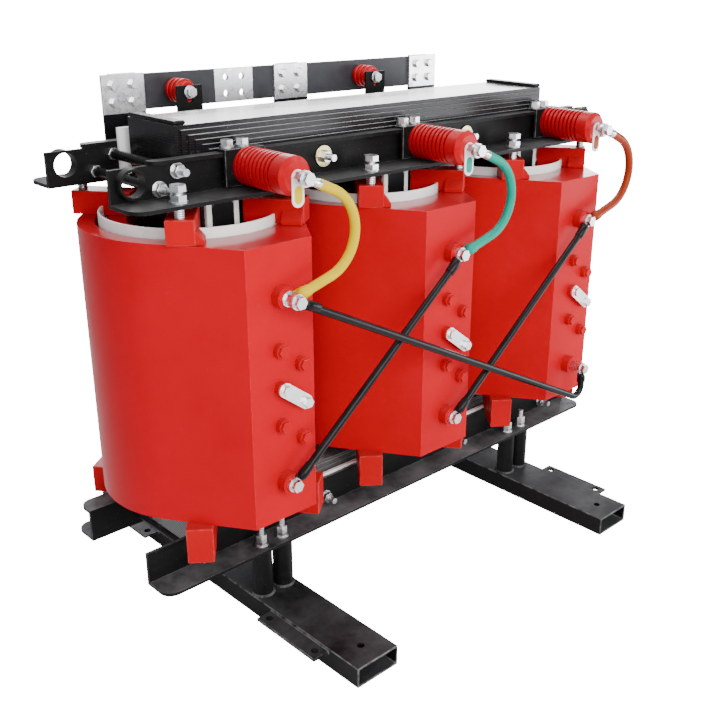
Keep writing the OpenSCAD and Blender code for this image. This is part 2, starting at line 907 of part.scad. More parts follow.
module each_riser() {
  for (i = [0 : 2]) translate([phases[i] + riser_x[i], 0, 0]) children();
}

// a riser climbs from its coil over the blocks and stands up behind the clamp to carry the bar
module lv_neutral_risers() color(steel) {
  face = bar_y - riser_t / 2;
  foot_y = (lv_radius + lv_bore) / 2 - bar_t;
  run_z = (press_z + lower_flange_z) / 2;
  path = [[foot_y, coil_top], [foot_y, run_z], [face, run_z], [face, bar_high + 2]];
  each_riser() {
    bent_bar(0, riser_w, path);
    for (sx = [-1, 1], sz = [-1, 1]) translate([sx * riser_bolt_x, 0, bar_z + sz * field_pitch_z / 2]) {
      y_hex(riser_bolt_af, bar_y - riser_t - riser_bolt_h, bar_y - riser_t);
    }
  }
}

// the phase bars pass under the risers and stand behind the neutral bar
module lv_phase_bars() color(steel) {
  foot_y = (lv_radius + lv_bore) / 2;
  run_z = coil_top + barrier_reach + 2 * riser_t;
  back_y = bar_back + phase_bar_gap;
  path = [[foot_y, coil_top], [foot_y, run_z], [back_y, run_z], [back_y, bar_high]];
  each_riser() translate([phase_bar_x, 0, 0]) difference() {
    bent_bar(0, phase_bar_w, path);
    for (sz = [-1, 1]) {
      translate([0, 0, bar_z + sz * field_pitch_z / 2]) y_rod(field_hole, bar_back, back_y + bar_t);
    }
  }
}

module support_places() {
  for (s = [-1, 1]) translate([support_mid + s * support_x, 0, 0]) children();
}

module lv_bar_brackets() color(black) {
  y0 = support_y - support_t;
  support_places() difference() {
    union() {
      box(-support_half, support_half, y0, support_y, upper_flange_z, bar_z + slot_w);
      box(-support_half, support_half, web_y, support_y, upper_flange_z, upper_flange_z + support_t);
    }
    translate([0, 0, bar_z]) {
      box(-slot_w / 2, slot_w / 2, y0 - 1, support_y + 1, -slot_run, 0);
      for (z = [-slot_run, 0]) translate([0, 0, z]) y_rod(slot_w, y0 - 1, support_y + 1);
    }
  }
}

module lv_bar_insulators() color(red) {
  pitch = support_length / 4;
  support_places() translate([0, support_y, bar_z]) {
    y_rod(support_d, 0, support_length);
    for (i = [1 : 3]) translate([0, i * pitch, 0]) y_rod(support_rib_d, -pitch / 4, pitch / 4);
  }
}

core_bottom_yoke();
core_limbs();
core_top_yoke();
core_boards();
lv_coil_a();
lv_coil_b();
lv_coil_c();
hv_coil_a();
hv_coil_b();
hv_coil_c();
barrier_tubes();
bottom_support_blocks();
top_press_blocks();
bottom_clamp_front();
bottom_clamp_rear();
top_clamp_front();
top_clamp_rear();
tie_plates();
tie_plate_strips();
clamp_tie_rods();
tie_rod_sleeves();
yoke_bolts();
coil_press_bolts();
foot_left();
foot_right();
foot_posts();
foot_studs();
hv_brackets();
hv_insulator_a();
hv_insulator_b();
hv_insulator_c();
phase_tag_a();
phase_tag_b();
phase_tag_c();
hv_lead_a();
hv_lead_b();
hv_lead_c();
delta_rod_a_c();
delta_rod_b_a();
delta_rod_c_b();
terminal_bolts();
tap_links();
lv_neutral_bar();
lv_neutral_risers();
lv_phase_bars();
lv_bar_insulators();
lv_bar_brackets();
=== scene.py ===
import math

import bmesh
import bpy
from mathutils import Matrix, Vector


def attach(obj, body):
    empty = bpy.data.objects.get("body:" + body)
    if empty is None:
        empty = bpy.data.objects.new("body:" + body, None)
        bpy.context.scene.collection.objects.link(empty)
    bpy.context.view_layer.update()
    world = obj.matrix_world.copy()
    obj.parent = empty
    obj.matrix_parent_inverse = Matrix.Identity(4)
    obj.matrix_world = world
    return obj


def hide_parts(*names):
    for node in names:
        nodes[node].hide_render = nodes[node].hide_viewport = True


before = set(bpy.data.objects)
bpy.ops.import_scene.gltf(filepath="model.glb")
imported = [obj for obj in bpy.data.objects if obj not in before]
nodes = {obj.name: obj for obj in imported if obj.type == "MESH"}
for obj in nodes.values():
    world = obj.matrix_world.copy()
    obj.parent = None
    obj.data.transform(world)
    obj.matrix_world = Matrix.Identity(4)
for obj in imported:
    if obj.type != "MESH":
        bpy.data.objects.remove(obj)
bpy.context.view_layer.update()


# Camera. The photograph looks at the high-voltage side from the left corner,
# a little above the core, with a normal lens and a slight lean.
azimuth = math.radians(-45.095)
elevation = math.radians(21.576)
lean = math.radians(0.932)
camera_place = (-1.3195, -1.4292, 1.1405)
back = Vector((math.sin(azimuth) * math.cos(elevation),
               -math.cos(azimuth) * math.cos(elevation),
               math.sin(elevation)))
right = (-back).cross(Vector((0, 0, 1))).normalized()
up = right.cross(-back)
leaned_right = math.cos(lean) * right + math.sin(lean) * up
leaned_up = -math.sin(lean) * right + math.cos(lean) * up
turn = Matrix((leaned_right, leaned_up, back)).transposed().to_4x4()
camera = bpy.data.objects.new("camera", bpy.data.cameras.new("camera"))
camera.data.lens = 49.105
camera.data.sensor_width = 36
camera.data.shift_x = -0.0556
camera.data.clip_end = 40
camera.matrix_world = Matrix.Translation(camera_place) @ turn
bpy.context.collection.objects.link(camera)
bpy.context.scene.camera = camera


# Studio. A white floor and a white sky, one wide soft key from the front, a long overhead
# box, weak fills from both sides and a bright panel behind for the shine on the yoke.
def material(name):
    made = bpy.data.materials.new(name)
    made.use_nodes = True
    return made, made.node_tree, made.node_tree.nodes["Principled BSDF"]


def node(tree, kind, **settings):
    made = tree.nodes.new(kind)
    for key, value in settings.items():
        if key in made.inputs:
            made.inputs[key].default_value = value
        else:
            setattr(made, key, value)
    return made


def brightness(tree, unseen, seen):
    """One level for the light that a surface gives, another for what the camera sees of it."""
    path = tree.nodes.new("ShaderNodeLightPath")
    level = node(tree, "ShaderNodeMapRange", **{"To Min": unseen, "To Max": seen})
    tree.links.new(path.outputs["Is Camera Ray"], level.inputs["Value"])
    return level.outputs[0]


world = bpy.data.worlds.new("studio")
bpy.context.scene.world = world
world.use_nodes = True
sky = world.node_tree.nodes["Background"]
sky.inputs["Color"].default_value = (0.95, 0.97, 1.0, 1)
sky_level = brightness(world.node_tree, unseen=0.46, seen=26.0)
world.node_tree.links.new(sky_level, sky.inputs["Strength"])

floor_half = 14
floor_sheet = bmesh.new()
bmesh.ops.create_grid(floor_sheet, x_segments=1, y_segments=1, size=floor_half)
floor_mesh = bpy.data.meshes.new("floor")
floor_sheet.to_mesh(floor_mesh)
floor_sheet.free()
floor = bpy.data.objects.new("floor", floor_mesh)
bpy.context.collection.objects.link(floor)
floor_paint, floor_tree, floor_shader = material("floor_paint")
floor_shader.inputs["Base Color"].default_value = (0.80, 0.80, 0.80, 1)
floor_shader.inputs["Roughness"].default_value = 0.8
floor_shader.inputs["Emission Color"].default_value = (1, 1, 1, 1)
floor_level = brightness(floor_tree, unseen=0.0, seen=16.0)
floor_tree.links.new(floor_level, floor_shader.inputs["Emission Strength"])
floor.data.materials.append(floor_paint)


def soft_light(name, place, aim, size, watts, colour):
    lamp = bpy.data.lights.new(name, "AREA")
    lamp.shape = "RECTANGLE"
    lamp.size, lamp.size_y = size
    lamp.energy = watts
    lamp.color = colour
    holder = bpy.data.objects.new(name, lamp)
    face = (Vector(aim) - Vector(place)).to_track_quat("-Z", "Y").to_matrix().to_4x4()
    holder.matrix_world = Matrix.Translation(place) @ face
    bpy.context.collection.objects.link(holder)


soft_light("key_light", (-0.5, -3.4, 2.0), (0, 0, 0.5), (2.6, 2.0), 156, (1, 0.99, 0.97))
soft_light("left_fill", (-2.6, -2.3, 1.7), (0, 0, 0.5), (1.8, 1.8), 44, (1, 0.99, 0.97))
soft_light("overhead_box", (0.2, 0.4, 3.0), (0, 0, 0.6), (3.2, 1.6), 88, (1, 1, 1))
soft_light("right_fill", (2.3, -1.9, 0.6), (0, 0, 0.75), (2.2, 1.1), 52, (0.95, 0.97, 1))
soft_light("back_window", (2.6, 2.9, 1.9), (0, 0, 0.7), (3.4, 2.0), 130, (0.97, 0.98, 1))


# Feet. Two lengths of rectangular steel tube with open ends and welded side ears, sprayed with black
# shop paint that is greyed on top with dust and painted light, and paler along the edges where it is
# rubbed bare and given a painted highlight.
# Short turned posts are welded on them, and threaded rods through the posts hold the core up.
def feed(tree, value, socket):
    """Links the output of another node to a socket, or sets a plain value on it."""
    if isinstance(value, bpy.types.NodeSocket):
        tree.links.new(value, socket)
    else:
        socket.default_value = value


def ramp(tree, source, low, high, dark=0.0, light=1.0):
    made = tree.nodes.new("ShaderNodeValToRGB")
    for element, place, tone in zip(made.color_ramp.elements, (low, high), (dark, light)):
        element.position = place
        element.color = tone if isinstance(tone, tuple) else (tone, tone, tone, 1)
    tree.links.new(source, made.inputs["Fac"])
    return made.outputs["Color"]


def mix(tree, factor, first, second):
    made = node(tree, "ShaderNodeMix", data_type="RGBA")
    for index, value in ((0, factor), (6, first), (7, second)):
        feed(tree, value, made.inputs[index])
    return made.outputs[2]


def times(tree, first, second):
    made = node(tree, "ShaderNodeMath", operation="MULTIPLY")
    feed(tree, first, made.inputs[0])
    feed(tree, second, made.inputs[1])
    return made.outputs[0]


def layer(tree, under, mask, share, over):
    """A second colour laid over the first where the mask shows it, at a share of full strength."""
    return mix(tree, times(tree, mask, share), under, over)


def noise(tree, place, scale, detail=4.0, rough=0.55, stretch=None):
    made = node(tree, "ShaderNodeTexNoise", Detail=detail, Roughness=rough)
    feed(tree, scale, made.inputs["Scale"])
    if stretch:
        pulled = node(tree, "ShaderNodeMapping", Scale=stretch)
        tree.links.new(place, pulled.inputs["Vector"])
        place = pulled.outputs["Vector"]
    tree.links.new(place, made.inputs["Vector"])
    return made.outputs[0]


def spread(tree, value, low, high, most=1.0):
    made = node(tree, "ShaderNodeMapRange", **{"From Min": low, "From Max": high, "To Max": most})
    tree.links.new(value, made.inputs["Value"])
    return made.outputs[0]


def facing_up(tree, low=0.6, high=0.95, most=1.0):
    surface = tree.nodes.new("ShaderNodeNewGeometry")
    split = tree.nodes.new("ShaderNodeSeparateXYZ")
    tree.links.new(surface.outputs["Normal"], split.inputs[0])
    return spread(tree, split.outputs["Z"], low, high, most)


def bump(tree, height, strength, distance, shader):
    made = node(tree, "ShaderNodeBump", Strength=strength, Distance=distance)
    tree.links.new(height, made.inputs["Height"])
    tree.links.new(made.outputs["Normal"], shader.inputs["Normal"])


def coat_with(tree, shader, colour, roughness):
    tree.links.new(colour, shader.inputs["Base Color"])
    tree.links.new(roughness, shader.inputs["Roughness"])


# Shop dust lies on faces that look up, in soft patches with fine specks. Along the rounded edges
# of a piece, in broken stretches, one mask carries both paint rubbed through and a painted highlight.
wear_and_highlight = bpy.data.node_groups.new("shop_wear_and_highlight", "ShaderNodeTree")
wear_and_highlight.interface.new_socket("Vector", in_out="INPUT", socket_type="NodeSocketVector")
for label in ("Patch scale", "Speck scale"):
    wear_and_highlight.interface.new_socket(label, in_out="INPUT", socket_type="NodeSocketFloat")
for label in ("Upward_patches", "Specks", "Rub_and_highlight"):
    wear_and_highlight.interface.new_socket(label, in_out="OUTPUT", socket_type="NodeSocketFloat")
wear_in = wear_and_highlight.nodes.new("NodeGroupInput").outputs
wear_out = wear_and_highlight.nodes.new("NodeGroupOutput").inputs
patches = noise(wear_and_highlight, wear_in["Vector"], wear_in["Patch scale"], detail=6.0, rough=0.65)
specks = noise(wear_and_highlight, wear_in["Vector"], wear_in["Speck scale"], detail=2.0, rough=0.5)
edge_breakup = noise(wear_and_highlight, wear_in["Vector"], 55.0, detail=5.0, rough=0.7)
rounded_edges = node(wear_and_highlight, "ShaderNodeAttribute", attribute_name="edge_rub_and_highlight").outputs["Fac"]
lying = times(wear_and_highlight, spread(wear_and_highlight, patches, 0.30, 0.70), facing_up(wear_and_highlight, low=0.3))
wear_and_highlight.links.new(lying, wear_out["Upward_patches"])
wear_and_highlight.links.new(spread(wear_and_highlight, specks, 0.70, 0.76), wear_out["Specks"])
wear_and_highlight.links.new(times(wear_and_highlight, spread(wear_and_highlight, edge_breakup, 0.38, 0.60), rounded_edges), wear_out["Rub_and_highlight"])


def wear_and_highlight_marks(tree, patch_scale, speck_scale):
    place = tree.nodes.new("ShaderNodeTexCoord").outputs["Object"]
    group = tree.nodes.new("ShaderNodeGroup")
    group.node_tree = wear_and_highlight
    group.inputs["Patch scale"].default_value = patch_scale
    group.inputs["Speck scale"].default_value = speck_scale
    tree.links.new(place, group.inputs["Vector"])
    return place, group.outputs


def shop_black(name, dust_and_lit_grey, dust_and_lit_share, gloss):
    fresh, faded = (0.0035, 0.0034, 0.0037, 1), (0.0075, 0.0073, 0.0077, 1)
    fleck_grey, scuff_grey, bare_and_highlight_grey = (0.20, 0.20, 0.19, 1), (0.16, 0.16, 0.16, 1), (0.24, 0.24, 0.24, 1)
    made, tree, shader = material(name)
    place, marks = wear_and_highlight_marks(tree, 9.0, 330.0)
    drag = noise(tree, place, 26.0, 8.0, 0.72, stretch=(0.5, 2.2, 3.0))
    scuff = ramp(tree, drag, 0.70, 0.78)
    tone = ramp(tree, drag, 0.25, 0.75, fresh, faded)
    # The upward patches are painted grey for dust and also as painted light that brightens the tops.
    tone = layer(tree, tone, marks["Upward_patches"], dust_and_lit_share, dust_and_lit_grey)
    tone = layer(tree, tone, marks["Specks"], 0.22, fleck_grey)
    tone = layer(tree, tone, scuff, 0.22, scuff_grey)
    # Rounded edges are painted paler: rubbed-bare paint and a painted highlight along folds and seams.
    tone = layer(tree, tone, marks["Rub_and_highlight"], 0.55, bare_and_highlight_grey)
    coat_with(tree, shader, tone, ramp(tree, drag, 0.3, 0.75, gloss, gloss + 0.2))
    shader.inputs["Specular IOR Level"].default_value = 0.11
    bump(tree, noise(tree, place, 380.0, 3.0), 0.10, 0.0004, shader)
    return made


def round_edges(body, edges, edge_round, steps=2):
    rounded = bmesh.ops.bevel(body, geom=edges, offset=edge_round, offset_type="OFFSET", segments=steps,
                              profile=0.5, affect="EDGES", clamp_overlap=True, material=-1)
    return rounded["faces"]


def eased(name, edge_round, shortest=0.0025):
    """A copy of a solid with its triangles joined up and its edges rounded."""
    same_point, flat, sharp_angle = 0.00002, math.radians(0.4), math.radians(24)
    least_bend, most_bend, facet_width, facet_corners = 0.01, 0.36, 0.03, 7
    body = bmesh.new()
    body.from_mesh(nodes[name].data)
    bmesh.ops.remove_doubles(body, verts=body.verts, dist=same_point)
    bmesh.ops.dissolve_limit(body, angle_limit=flat, verts=body.verts, edges=body.edges)
    edge_rub_and_highlight = body.faces.layers.float.new("edge_rub_and_highlight")
    for face in body.faces:
        bends = any(len(edge.link_faces) == 2 and least_bend < edge.calc_face_angle() < most_bend
                    for edge in face.edges)
        narrow = face.calc_area() < facet_width * max(edge.calc_length() for edge in face.edges)
        face.smooth = bends and narrow and len(face.verts) < facet_corners
    sharp = [edge for edge in body.edges if len(edge.link_faces) == 2 and edge.calc_length() > shortest
             and edge.calc_face_angle() > sharp_angle]
    # The rounded faces carry the edge mark for rubbed paint and a painted highlight.
    for face in round_edges(body, sharp, edge_round):
        face[edge_rub_and_highlight] = 1.0
        face.smooth = False
    return body


def set_piece(body, name, finishes, stands_for=None):
    crease = math.radians(22)
    for edge in body.edges:
        edge.smooth = len(edge.link_faces) == 2 and edge.calc_face_angle() < crease
    mesh = bpy.data.meshes.new(name)
    body.to_mesh(mesh)
    body.free()
    for finish in finishes:
        mesh.materials.append(finish)
    piece = bpy.data.objects.new(name, mesh)
    bpy.context.collection.objects.link(piece)
    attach(piece, "root")
    if stands_for:
        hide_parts(stands_for)


def dress(name, piece_name, finish, edge_round, shortest=0.0025):
    """Sets an eased copy of a solid in its place, in one finish."""
    set_piece(eased(name, edge_round, shortest), piece_name, [finish], name)


def spun(body, points, axis, steps):
    """Turns a line of points once round an axis through the origin and gives back what it made."""
    earlier = set(body.verts)
    line = [body.verts.new(point) for point in points]
    edges = [body.edges.new(pair) for pair in zip(line, line[1:])]
    bmesh.ops.spin(body, geom=line + edges, cent=(0, 0, 0), axis=axis, dvec=(0, 0, 0), angle=math.tau,
                   steps=steps, use_merge=True, use_duplicate=False)
    return [vert for vert in body.verts if vert not in earlier]


foot_black = shop_black("foot_black", dust_and_lit_grey=(0.074, 0.077, 0.081, 1), dust_and_lit_share=0.74, gloss=0.36)
for side in ("left", "right"):
    dress("foot_" + side, "foot_tube_" + side, foot_black, 0.0018, 0.004)
dress("foot_posts", "turned_posts", foot_black, 0.0008, 0.0015)

foot_top, post_radius, bead_leg = 0.040, 0.019, 0.0036
foot_x, post_row, post_apart = 0.358, 0.138, 0.024
post_axes = [(end * foot_x + pair * post_apart, row * post_row)
             for end in (-1, 1) for row in (-1, 1) for pair in (-1, 1)]
bead_outline = [(-0.0006, 1.0), (0.25 * bead_leg, 0.95), (0.72 * bead_leg, 0.62),
                (bead_leg, 0.1), (bead_leg, -0.15)]
beads = bmesh.new()
for x, y in post_axes:
    profile = [(post_radius + out, 0, rise * bead_leg) for out, rise in bead_outline]
    ring = spun(beads, profile, axis=(0, 0, 1), steps=72)
    for vert in ring:
        around = math.atan2(vert.co.y, vert.co.x)
        ripple = 1 + 0.16 * math.sin(19 * around + 40 * x) + 0.10 * math.sin(7 * around + 90 * y)
        reach = Vector((vert.co.x, vert.co.y)).length - post_radius
        if reach > 0:
            vert.co.xy = (post_radius + reach * ripple) * vert.co.xy.normalized()
            vert.co.z *= ripple
    bmesh.ops.translate(beads, vec=(x, y, foot_top), verts=ring)
bmesh.ops.recalc_face_normals(beads, faces=beads.faces[:])
# The weld beads get half the edge mark: rubbed paint and a painted highlight.
bead_rub_and_highlight = beads.faces.layers.float.new("edge_rub_and_highlight")
for face in beads.faces:
    face[bead_rub_and_highlight] = 0.5
    face.smooth = True
set_piece(beads, "post_weld_beads", [foot_black])


# Fasteners. Zinc-plated rods, bolts, nuts and washers: bright bluish metal gone slightly dull,
# and rolled threads on every rod that stands out of a nut, with painted shade in their grooves.
def bands(tree, place, along, scale, **settings):
    made = node(tree, "ShaderNodeTexWave", wave_type="BANDS", bands_direction=along, Scale=scale, **settings)
    tree.links.new(place, made.inputs["Vector"])
    return made.outputs["Fac"]


def plated(name, cool, warm, rough, thread_along=None):
    dust_brown, groove_shade_grey = (0.30, 0.28, 0.25, 1), (0.16, 0.16, 0.17, 1)
    made, tree, shader = material(name)
    place, marks = wear_and_highlight_marks(tree, 30.0, 500.0)
    bloom = noise(tree, place, 90.0)
    tone = ramp(tree, bloom, 0.3, 0.7, cool, warm)
    height, strength, depth = bloom, 0.1, 0.0003
    if thread_along:
        height, strength, depth = bands(tree, place, thread_along, 90.0, wave_profile="TRI"), 0.5, 0.0009
        # Painted shade: the thread grooves are darkened to grey.
        tone = mix(tree, ramp(tree, height, 0.0, 0.6, 0.75, 0.0), tone, groove_shade_grey)
    tone = layer(tree, tone, marks["Upward_patches"], 0.25, dust_brown)
    coat_with(tree, shader, tone, ramp(tree, bloom, 0.3, 0.7, rough, rough + 0.14))
    shader.inputs["Metallic"].default_value = 1.0
    bump(tree, height, strength, depth, shader)
    return made


zinc = plated("zinc", (0.60, 0.62, 0.65, 1), (0.80, 0.81, 0.82, 1), 0.24)
thread_y = plated("thread_along_y", (0.60, 0.62, 0.65, 1), (0.78, 0.79, 0.80, 1), 0.28, "Y")
thread_z = plated("thread_along_z", (0.60, 0.62, 0.65, 1), (0.78, 0.79, 0.80, 1), 0.28, "Z")
yellow_zinc = plated("yellow_zinc", (0.62, 0.50, 0.24, 1), (0.80, 0.70, 0.42, 1), 0.26)
m12_reach, m16_reach = 0.0066, 0.0086


def bright(name, along, rod, piece_name, axes, washer=None, painted=None):
    """A fastener's copy: rods about the given axes get threads or paint, broad washers turn yellow."""
    threaded, yellowed, blackened = 1, 2, 3
    thread = thread_y if along == "Y" else thread_z
    body = eased(name, 0.0007, 0.0012)
    for face in body.faces:
        middle = face.calc_center_median()
        across = Vector((middle.x, middle.z if along == "Y" else middle.y))
        gap = min((across - Vector(axis)).length for axis in axes)
        flat_end = abs(face.normal.y if along == "Y" else face.normal.z) > 0.7
        if gap < rod and not flat_end:
            face.material_index = blackened if painted and painted(middle) else threaded
        elif washer and washer(middle):
            face.material_index = yellowed
    set_piece(body, piece_name, [zinc, thread, yellow_zinc, foot_black], name)


bright("foot_studs", "Z", m12_reach, "foot_rods", post_axes)


# Bottom clamps. Two folded steel channels that hold the bottom yoke between their webs,
# painted black like the feet and greyer on the upward flange, with dust and painted light.
channel_black = shop_black("channel_black", dust_and_lit_grey=(0.160, 0.161, 0.167, 1), dust_and_lit_share=0.92, gloss=0.34)
for side in ("front", "rear"):
    dress("bottom_clamp_" + side, "bottom_channel_" + side, channel_black, 0.0016, 0.004)


# Core. Thin steel sheets stacked into stepped packets and brushed with black varnish.
# The upper faces are painted a light grey metal as a painted reflection, with the sheet edges as
# fine lines, and a thick varnished edging closes both ends of the top yoke.
def laminated(name, side_dark, side_light):
    line_grey, fleck_grey = (0.22, 0.22, 0.22, 1), (0.30, 0.30, 0.29, 1)
    made, tree, shader = material(name)
    place, marks = wear_and_highlight_marks(tree, 9.0, 330.0)
    sheets = bands(tree, place, "Y", 60.0, Distortion=0.5, Detail=1.0)
    runs = bands(tree, place, "Z", 80.0, Distortion=1.2, Detail=2.0)
    reflection_and_gloss_mottle = noise(tree, place, 5.0, 6.0, 0.65, stretch=(0.4, 5.0, 1.0))
    # Painted reflection: upward faces get a light grey metal tone and metallic shine, the sides stay black.
    painted_reflection = ramp(tree, reflection_and_gloss_mottle, 0.30, 0.70, (0.50, 0.50, 0.49, 1), (0.74, 0.74, 0.73, 1))
    lined = layer(tree, painted_reflection, sheets, 0.25, line_grey)
    sides = ramp(tree, runs, 0.2, 0.9, side_dark, side_light)
    varnish_and_reflection = mix(tree, facing_up(tree), sides, lined)
    varnish_and_reflection = layer(tree, varnish_and_reflection, marks["Specks"], 0.35, fleck_grey)
    coat_with(tree, shader, varnish_and_reflection, ramp(tree, reflection_and_gloss_mottle, 0.3, 0.7, 0.14, 0.30))
    tree.links.new(facing_up(tree, most=0.85), shader.inputs["Metallic"])
    shader.inputs["Specular IOR Level"].default_value = 0.22
    bump(tree, runs, 0.05, 0.0006, shader)
    return made


varnished = laminated("varnished_sheets_painted_reflection", (0.004, 0.004, 0.0045, 1), (0.010, 0.010, 0.011, 1))
thinly_varnished = laminated("thinly_varnished_sheets_painted_reflection", (0.035, 0.035, 0.037, 1), (0.14, 0.14, 0.145, 1))
dress("core_bottom_yoke", "bottom_yoke_packets", thinly_varnished, 0.0008, 0.02)
dress("core_limbs", "limb_packets", varnished, 0.0008, 0.02)
dress("core_top_yoke", "top_yoke_packets", varnished, 0.0008, 0.02)

edging_size, edging_x, edging_z, edging_round = (0.022, 0.140, 0.007), 0.455, 0.9136, 0.003
edging = bmesh.new()
for end in (-1, 1):
    strip = bmesh.ops.create_cube(edging, size=1)["verts"]
    bmesh.ops.scale(edging, vec=edging_size, verts=strip)
    bmesh.ops.translate(edging, vec=(end * edging_x, 0, edging_z), verts=strip)
round_edges(edging, edging.edges[:], edging_round, steps=3)
varnish_black = shop_black("varnish_black", dust_and_lit_grey=(0.030, 0.030, 0.030, 1), dust_and_lit_share=0.3, gloss=0.18)
set_piece(edging, "yoke_end_edging", [varnish_black])


# Insulation. The barrier tubes, the strips on the tie plates and the core boards are white
# glass-fibre board, matt, a little grey and smudged with varnish from handling.
# The tie plates between the strips are flat steel bars, painted black.
dust_grey, smudge_grey = (0.50, 0.48, 0.45, 1), (0.25, 0.24, 0.24, 1)
board_white, tree, shader = material("board_white")
place, marks = wear_and_highlight_marks(tree, 14.0, 320.0)
weave = noise(tree, place, 60.0)
smudge = ramp(tree, noise(tree, place, 16.0, 5.0, 0.7), 0.62, 0.74)
tone = ramp(tree, weave, 0.3, 0.75, (0.90, 0.91, 0.91, 1), (0.97, 0.97, 0.97, 1))
tone = layer(tree, tone, marks["Upward_patches"], 0.08, dust_grey)
tone = layer(tree, tone, smudge, 0.35, smudge_grey)
coat_with(tree, shader, tone, ramp(tree, weave, 0.3, 0.7, 0.46, 0.66))
bump(tree, weave, 0.15, 0.0005, shader)

board_lift = 0.009
boards = eased("core_boards", 0.0008, 0.004)
for vert in boards.verts:
    if vert.co.y < -0.08 and 0.19 < vert.co.z < 0.20:
        vert.co.z += board_lift
set_piece(boards, "yoke_boards", [board_white], "core_boards")
dress("tie_plate_strips", "tie_edge_strips", board_white, 0.0008, 0.004)
dress("barrier_tubes", "barrier_cylinders", board_white, 0.0010)
clamp_black = shop_black("clamp_black", dust_and_lit_grey=(0.090, 0.088, 0.090, 1), dust_and_lit_share=0.78, gloss=0.34)
dress("tie_plates", "limb_tie_plates", clamp_black, 0.0010, 0.003)


# Windings. Each high-voltage coil is copper cast in red resin in a steel mould, so it is smooth
# and glossy with a faint ripple, and its flat front panel carries the cast terminal bosses.
# The low-voltage coil inside it is the same resin.
def cast_resin(name, deep, fresh, rough, gloss, coat):
    dust_pink, fleck_pink, edge_highlight_red = (0.50, 0.24, 0.22, 1), (0.80, 0.45, 0.42, 1), (0.62, 0.08, 0.07, 1)
    made, tree, shader = material(name)
    place, marks = wear_and_highlight_marks(tree, 6.0, 300.0)
    cloud = noise(tree, place, 4.0, 5.0, 0.6)
    tone = ramp(tree, cloud, 0.32, 0.70, deep, fresh)
    tone = layer(tree, tone, marks["Upward_patches"], 0.10, dust_pink)
    tone = layer(tree, tone, marks["Specks"], 0.06, fleck_pink)
    # Rounded edges are painted a paler red: a painted highlight.
    tone = layer(tree, tone, marks["Rub_and_highlight"], 0.40, edge_highlight_red)
    coat_with(tree, shader, tone, ramp(tree, cloud, 0.3, 0.7, *rough))
    shader.inputs["Specular IOR Level"].default_value = gloss
    shader.inputs["Specular Tint"].default_value = (1.0, 0.12, 0.12, 1)
    tree.links.new(facing_up(tree, most=coat), shader.inputs["Coat Weight"])
    shader.inputs["Coat Roughness"].default_value = 0.14
    bump(tree, noise(tree, place, 170.0, 2.0, 0.4), 0.10, 0.0004, shader)
    return made


coil_places = {"a": -0.4, "b": 0.0, "c": 0.4}
coil_resin = cast_resin("coil_resin", (0.40, 0.0001, 0.006, 1), (0.48, 0.0002, 0.009, 1),
                        rough=(0.30, 0.42), gloss=0.10, coat=0.9)
for phase in coil_places:
    dress("hv_coil_" + phase, "cast_coil_" + phase, coil_resin, 0.0022, 0.004)
    dress("lv_coil_" + phase, "inner_coil_" + phase, coil_resin, 0.0020)


# Blocks. Moulded red resin blocks that carry the coils on the bottom clamps and take the
# pressure of the bolts on top, the same colour as the coils but duller. Each press block has
# a low sloping shoulder on its inner side, moulded in one with it.
moulded_red = cast_resin("moulded_red", (0.38, 0.0003, 0.004, 1), (0.46, 0.0006, 0.006, 1),
                         rough=(0.38, 0.50), gloss=0.3, coat=0.3)
dress("bottom_support_blocks", "support_blocks", moulded_red, 0.0020, 0.003)
dress("top_press_blocks", "press_blocks", moulded_red, 0.0020, 0.003)

coil_top, block_angle, block_half = 0.744, math.radians(38), 0.023
shoulder_start, shoulder_end, shoulder_round = 0.166, 0.202, 0.0015
shoulder_reach, shoulder_lip, shoulder_rise = 0.013, 0.008, 0.024
shoulder_outline = [(-0.004, 0.0002), (shoulder_reach, 0.0002), (shoulder_reach, shoulder_lip),
                    (0.0, shoulder_rise), (-0.004, shoulder_rise)]
headings = ((block_angle, -1), (-block_angle, 1), (math.pi - block_angle, 1), (block_angle - math.pi, -1))
shoulders = bmesh.new()
for x in coil_places.values():
    for heading, inner in headings:
        ring = [shoulders.verts.new((inner * (block_half + out), -shoulder_end, rise))
                for out, rise in shoulder_outline]
        end_face = shoulders.faces.new(ring)
        drawn = bmesh.ops.extrude_face_region(shoulders, geom=[end_face])["geom"]
        far_ring = [vert for vert in drawn if isinstance(vert, bmesh.types.BMVert)]
        bmesh.ops.translate(shoulders, vec=(0, shoulder_end - shoulder_start, 0), verts=far_ring)
        swing = Matrix.Rotation(heading, 3, "Z")
        bmesh.ops.rotate(shoulders, cent=(0, 0, 0), matrix=swing, verts=ring + far_ring)
        bmesh.ops.translate(shoulders, vec=(x, 0, coil_top), verts=ring + far_ring)
bmesh.ops.recalc_face_normals(shoulders, faces=shoulders.faces[:])
round_edges(shoulders, shoulders.edges[:], shoulder_round)
set_piece(shoulders, "press_block_shoulders", [moulded_red])


# Top clamps. Folded channels over the coils with lifting lugs at the ends; sleeved tie rods
# draw them together, and long bolts through the yoke have broad yellow washers.
def broad_washer(middle):
    return middle.z > 0.7 and 0.1015 < abs(middle.y) < 0.1052


def inside_yoke(middle):
    return abs(middle.y) < 0.05


